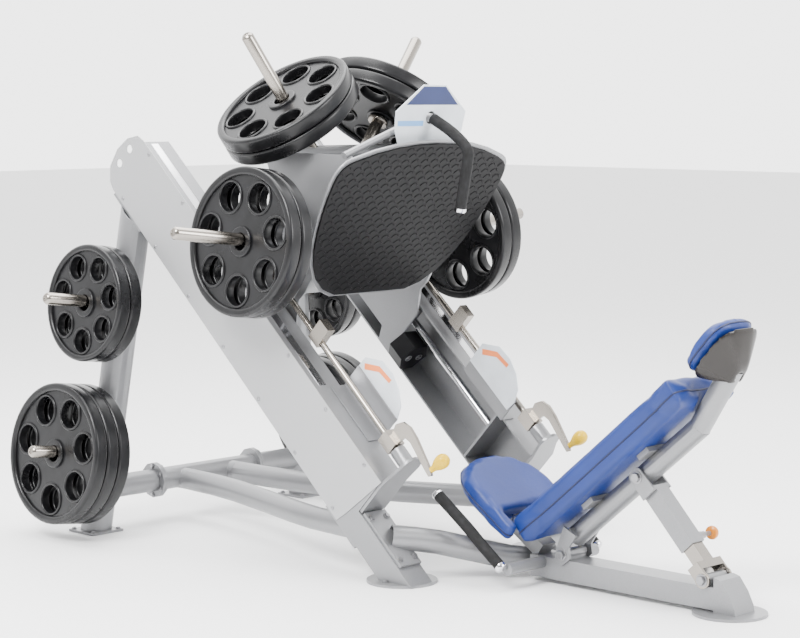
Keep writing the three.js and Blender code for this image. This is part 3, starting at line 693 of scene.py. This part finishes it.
# ---------------------------------------------------------------- foot mat
def foot_mat():
    """The rubber mat with raised bars set in a herringbone."""
    node = "foot_mat"
    bar_height = 0.0016
    base = NODES[node].data.copy()
    base.transform(FOOT.inverted())
    for vertex in base.vertices:
        if vertex.co.x > -0.001:
            vertex.co.x = -bar_height
    low, high = local_corners(node, FOOT)
    work = bmesh.new()
    work.from_mesh(base)
    bmesh.ops.remove_doubles(work, verts=work.verts, dist=0.00002)
    tree = BVHTree.FromBMesh(work)
    pitch = 0.021
    half_length = 0.0105
    half_width = 0.0026

    def on_mat(y, z):
        return tree.ray_cast(Vector((0.1, y, z)), Vector((-1, 0, 0)))[0] is not None

    columns = int((high.y - low.y) / pitch)
    rows = int((high.z - low.z) / pitch)
    for i in range(columns + 1):
        for j in range(rows + 1):
            y = low.y + i * pitch
            z = low.z + j * pitch
            turn = math.radians(38 if (i + j) % 2 else -38)
            ends = Vector((math.cos(turn), math.sin(turn))) * (half_length + 0.003)
            if not (on_mat(y + ends.x, z + ends.y) and on_mat(y - ends.x, z - ends.y)):
                continue
            spin = Matrix.Translation((-bar_height - 0.0003, y, z)) @ Matrix((
                (0, 0, 1, 0), (math.cos(turn), -math.sin(turn), 0, 0),
                (math.sin(turn), math.cos(turn), 0, 0), (0, 0, 0, 1)))
            lozenge = [(-half_length, 0), (-half_length * 0.6, -half_width), (half_length * 0.6, -half_width),
                       (half_length, 0), (half_length * 0.6, half_width), (-half_length * 0.6, half_width)]
            add_prism(work, lozenge, 0, bar_height + 0.0003, spin, 0.0008)
    bmesh.ops.recalc_face_normals(work, faces=work.faces)
    mesh = bpy.data.meshes.new("foot_mat_tread")
    work.to_mesh(mesh)
    work.free()
    mesh.transform(FOOT)
    piece = finish_piece("foot_mat_tread", mesh, MATERIALS["mat_rubber"], "carriage")
    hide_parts(node)


foot_mat()


# ---------------------------------------------------------------- knobs, grips and bumpers
def turned_piece(name, node, profile, place, material, replace=True):
    mesh = mesh_of(lambda work: add_lathe(work, profile, place), name)
    piece = finish_piece(name, mesh, material, BODY_OF[node])
    if replace:
        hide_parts(node)
    return piece


KNOB_PROFILE = [
    (0.0085, 0), (0.009, 0.003), (0.0095, 0.010), (0.0125, 0.019), (0.0175, 0.030), (0.0208, 0.041),
    (0.0218, 0.050), (0.0205, 0.059), (0.016, 0.067), (0.010, 0.0715), (0.004, 0.0735),
]
for side_name, sign in SIDES.items():
    knob_root = RAIL @ Vector((-0.131, sign * STOP_Y, 0.337))
    knob_aim = RAIL.to_3x3() @ Vector((0.2, 0, 0.98))
    knob = turned_piece(f"stop_knob_{side_name}_pear", f"stop_knob_{side_name}", KNOB_PROFILE,
                        axis_frame(knob_root, knob_aim), MATERIALS["knob_plastic"])


def pull_pin():
    low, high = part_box("pull_pin")
    middle = (low + high) / 2
    place = axis_frame(Vector((middle.x, low.y, middle.z)), (0, 1, 0))
    length = high.y - low.y
    barrel = [(0.006, 0), (0.006, 0.024), (0.0112, 0.024), (0.0118, 0.026), (0.0118, 0.052), (0.0105, 0.054),
              (0.0105, 0.066), (0.008, 0.068), (0.0065, 0.070), (0.0065, 0.098)]
    cap = [(0.0075, 0.0945), (0.013, 0.0955), (0.0185, 0.0995), (0.0198, 0.106), (0.0175, 0.1135),
           (0.0115, 0.1195), (0.005, length - 0.0008)]
    sleeve = turned_piece("pull_pin_barrel", "pull_pin", barrel, place, MATERIALS["frame_paint"])
    knob = turned_piece("pull_pin_knob", "pull_pin", cap, place, AMBER)


pull_pin()


def grip(name, node, points, radius, cap_ends):
    """A foam sleeve with chrome caps at the ends that show."""
    path = smooth_path(points, 12)
    mesh = mesh_of(lambda work: add_tube(work, path[1:-1], radius, 28), name)
    sleeve = finish_piece(name, mesh, MATERIALS["grip_foam"], BODY_OF[node])
    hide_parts(node)
    cap = [(radius - 0.001, -0.006), (radius + 0.0008, -0.005), (radius + 0.0008, 0.003),
           (radius - 0.002, 0.007), (radius * 0.55, 0.0085)]
    for index in cap_ends:
        tip = path[index]
        inner = path[index + 2] if index == 0 else path[index - 2]
        place = axis_frame(tip - (tip - inner).normalized() * 0.009, tip - inner)
        end = turned_piece(f"{name}_cap_{'low' if index == 0 else 'high'}", node, cap, place,
                           MATERIALS["chrome"], replace=False)


for side_name, sign in SIDES.items():
    handle = [SEAT @ Vector((p, sign * 0.216, q))
              for p, q in ((-0.084, 0.246), (0.060, 0.241), (0.140, 0.234), (0.236, 0.228))]
    grip(f"seat_grip_{side_name}", f"seat_handle_{side_name}", handle, 0.0165, (0, -1))


def pull_handle():
    route = [SHIFT + Vector(p) for p in ((-0.158, 0, 1.331), (-0.070, 0, 1.285), (-0.014, 0, 1.238),
                                         (-0.014, 0, 1.190), (-0.042, 0, 1.050))]
    grip("pull_handle_grip", "pull_handle", route, 0.0168, (-1,))
    bars = [[(-0.205, 0, 1.334), (-0.140, 0, 1.328)], [(-0.195, 0, 1.333), (-0.196, -0.330, 1.222)]]

    def build(work):
        for (start, end), radius in zip(bars, (0.0128, 0.0108)):
            add_tube(work, [SHIFT + Vector(start), SHIFT + Vector(end)], radius, 28)

    finish_piece("pull_handle_brace", mesh_of(build), MATERIALS["frame_paint"], "carriage")


pull_handle()


def bumper_sockets(side, sign):
    """Two round recesses with a socket screw on the face of each hexagonal bumper."""
    def build(work):
        for y in (-0.024, 0.024):
            centre = RAIL @ Vector((-0.7478, sign * 0.290 + y, 0.065))
            place = Matrix.Translation(centre) @ RAIL.to_3x3().to_4x4() @ Matrix.Rotation(math.pi / 2, 4, "Y")
            ring = rounded_section(0.0085, 0.0125, -0.002, 0.0014, 0.0008, 3)
            add_lathe(work, ring, place, 28, closed=True)
            add_prism(work, circle(0.006, 6), -0.002, 0.0005, place, 0.0006)

    finish_piece(f"bumper_screws_{side}", mesh_of(build), SCREW_STEEL, "carriage")


# ---------------------------------------------------------------- fasteners and trim of the frame
def facing(point, direction):
    return Matrix.Translation(point) @ Vector(direction).to_track_quat("Z", "Y").to_matrix().to_4x4()


def rail_trim(side, sign):
    """Cover screws, flange bolts and the bright wear strip on the top of a rail."""
    out = Vector((0, sign, 0))

    def screws(work):
        for i in range(7):
            for n in (0.012, RAIL_DEPTH - 0.012):
                s = -1.565 + i * 0.215
                add_button_screw(work, facing(RAIL @ Vector((s, sign * COVER_FACE, n)), out))

    def bolts(work):
        for s in (-0.160, -0.010):
            for y in (0.300, 0.362):
                point = RAIL @ Vector((s, sign * y, 0.0951))
                add_hex_bolt(work, facing(point, RAIL.to_3x3() @ Vector((0, 0, 1))), 0.015, 0.007)
        for y in (0.250, 0.386):
            add_hex_bolt(work, facing(SHIFT + Vector((0.025, sign * y, 0.008)), (0, 0, 1)), 0.013, 0.006)
        for corner in (-1, 1):
            for other in (-1, 1):
                point = SHIFT + Vector((-1.203 + corner * 0.05, sign * (0.460 + other * 0.05), 0.008))
                add_hex_bolt(work, facing(point, (0, 0, 1)), 0.012, 0.006)
        for i in range(6):
            a = math.pi * (i + 0.5) / 3
            at = SHIFT + Vector((-1.200 + 0.047 * math.cos(a), sign * 0.2251, 0.137 + 0.047 * math.sin(a)))
            add_hex_bolt(work, facing(at, out), 0.011, 0.006)

    strip_outline = [(-1.600, -0.014), (-0.570, -0.014), (-0.570, 0.014), (-1.600, 0.014)]
    strip_place = RAIL @ Matrix.Translation((0, sign * 0.345, RAIL_DEPTH))
    finish_piece(f"cover_screws_{side}", mesh_of(screws), SCREW_STEEL, "base_frame")
    finish_piece(f"flange_bolts_{side}", mesh_of(bolts), SCREW_STEEL, "base_frame")
    finish_piece(f"rail_wear_strip_{side}", mesh_of(
        lambda work: add_prism(work, strip_outline, 0, 0.0008, strip_place, 0.0003)),
        MATERIALS["chrome"], "base_frame")


def placard_band(name, outline, place, height, material, body):
    mesh = mesh_of(lambda work: add_prism(work, outline, 0, height, place))
    finish_piece(name, mesh, material, body, smooth=False)


STOP_BAND = [(-0.548, 0.328), (-0.500, 0.366), (-0.440, 0.372), (-0.440, 0.358), (-0.490, 0.352),
             (-0.536, 0.314)]
SLOPE_SIDE = RAIL @ Matrix(((1, 0, 0, 0), (0, 0, 1, 0), (0, 1, 0, 0), (0, 0, 0, 1)))


def stop_band(side, sign):
    """The warning colour along the upper rim of a stop placard, on both of its faces."""
    near, far = sorted(sign * y for y in STOP_PLACARD_Y)
    mesh = mesh_of(lambda work: add_prism(work, STOP_BAND, near, far, SLOPE_SIDE))
    finish_piece(f"stop_placard_band_{side}", mesh, BAND_ORANGE, BODY_OF[f"stop_placard_{side}"],
                 smooth=False)


def pivot_bolts(name, centre, reach, body):
    """The bolt heads at the two ends of a pivot that runs across the machine."""
    def build(work):
        for across in (-1, 1):
            face = centre + Vector((0, across * reach, 0))
            add_hex_bolt(work, facing(face, (0, across, 0)), 0.024, 0.011)

    finish_piece(name, mesh_of(build), SCREW_STEEL, body)


for side_name, sign in SIDES.items():
    bumper_sockets(side_name, sign)
    rail_trim(side_name, sign)
    stop_band(side_name, sign)

pivot_bolts("backrest_pivot_bolts", BACK.translation, PIVOT_REACH, "backrest")
pivot_bolts("strut_top_bolts", Vector(JOINTS["strut_pivot"]["pos_m"]), STRUT_TOP_REACH, "strut_sleeve")
pivot_bolts("strut_foot_bolts", SHIFT + STRUT_FOOT, PIVOT_REACH, "strut_slider")

PLACARD = slope_frame(11, SHIFT + Vector((-0.168, 0, 1.292)))
PLACARD_FACE = PLACARD @ Matrix(((0, 0, 1, 0), (1, 0, 0, 0), (0, 1, 0, 0), (0, 0, 0, 1)))
placard_band("placard_header", [(-0.112, 0.078), (0.112, 0.078), (0.047, 0.133), (-0.047, 0.133)],
             PLACARD_FACE, 0.0008, HEADER_BLUE, "carriage")
placard_band("placard_band", [(-0.138, 0.014), (-0.03, 0.014), (-0.03, 0.03), (-0.14, 0.03)],
             PLACARD_FACE, 0.0008, BAND_BLUE, "carriage")

# ---------------------------------------------------------------- camera, floor and light
camera = bpy.data.objects.new("camera", bpy.data.cameras.new("camera"))
bpy.context.scene.collection.objects.link(camera)
camera.location = (4.5672, -4.873, 1.391)
camera.rotation_euler = (math.radians(84.2987), 0, math.radians(43.8235))
camera.data.sensor_width = 36
camera.data.lens = 99.98
camera.data.clip_end = 100
bpy.context.scene.camera = camera

floor_mesh = bpy.data.meshes.new("floor")
floor_mesh.from_pydata([(-30, -30, 0), (30, -30, 0), (30, 30, 0), (-30, 30, 0)], [], [(0, 1, 2, 3)])
floor = bpy.data.objects.new("floor", floor_mesh)
bpy.context.scene.collection.objects.link(floor)
floor_paint = new_material("floor_paint", (0.93, 0.93, 0.93), 0.6)
vary_roughness(floor_paint, noise(floor_paint, 3), 0.55, 0.7)
floor_mesh.materials.append(floor_paint)

world = bpy.data.worlds.new("studio")
world.use_nodes = True

def light_from(direction, facing_strength, opposite_strength):
    """A studio that is bright on one side and dim on the other."""
    tree = world.node_tree
    coordinates = tree.nodes.new("ShaderNodeTexCoord")
    across = tree.nodes.new("ShaderNodeVectorMath")
    across.operation = "DOT_PRODUCT"
    across.inputs[1].default_value = direction
    span = tree.nodes.new("ShaderNodeMapRange")
    span.inputs["From Min"].default_value = -1
    span.inputs["To Min"].default_value = opposite_strength
    span.inputs["To Max"].default_value = facing_strength
    tree.links.new(coordinates.outputs["Generated"], across.inputs[0])
    tree.links.new(across.outputs["Value"], span.inputs["Value"])
    tree.links.new(span.outputs["Result"], tree.nodes["Background"].inputs["Strength"])


world.node_tree.nodes["Background"].inputs["Color"].default_value = (1, 1, 1, 1)
light_from((-0.70, 0.70, 0.15), 4.0, 0.4)
bpy.context.scene.world = world


def softbox(name, location, size, power):
    light = bpy.data.objects.new(name, bpy.data.lights.new(name, "AREA"))
    bpy.context.scene.collection.objects.link(light)
    light.location = location
    light.data.shape = "RECTANGLE"
    light.data.size = size[0]
    light.data.size_y = size[1]
    light.data.energy = power
    aim = Vector((0, 0, 0.7)) - Vector(location)
    light.rotation_euler = aim.to_track_quat("-Z", "Y").to_euler()


softbox("key", (0.5, -4.5, 4.8), (2.5, 2.5), 700)
softbox("fill", (5.0, 1.0, 3.0), (2.5, 2.5), 330)
softbox("top", (-1.0, 0.5, 5.0), (4, 4), 420)
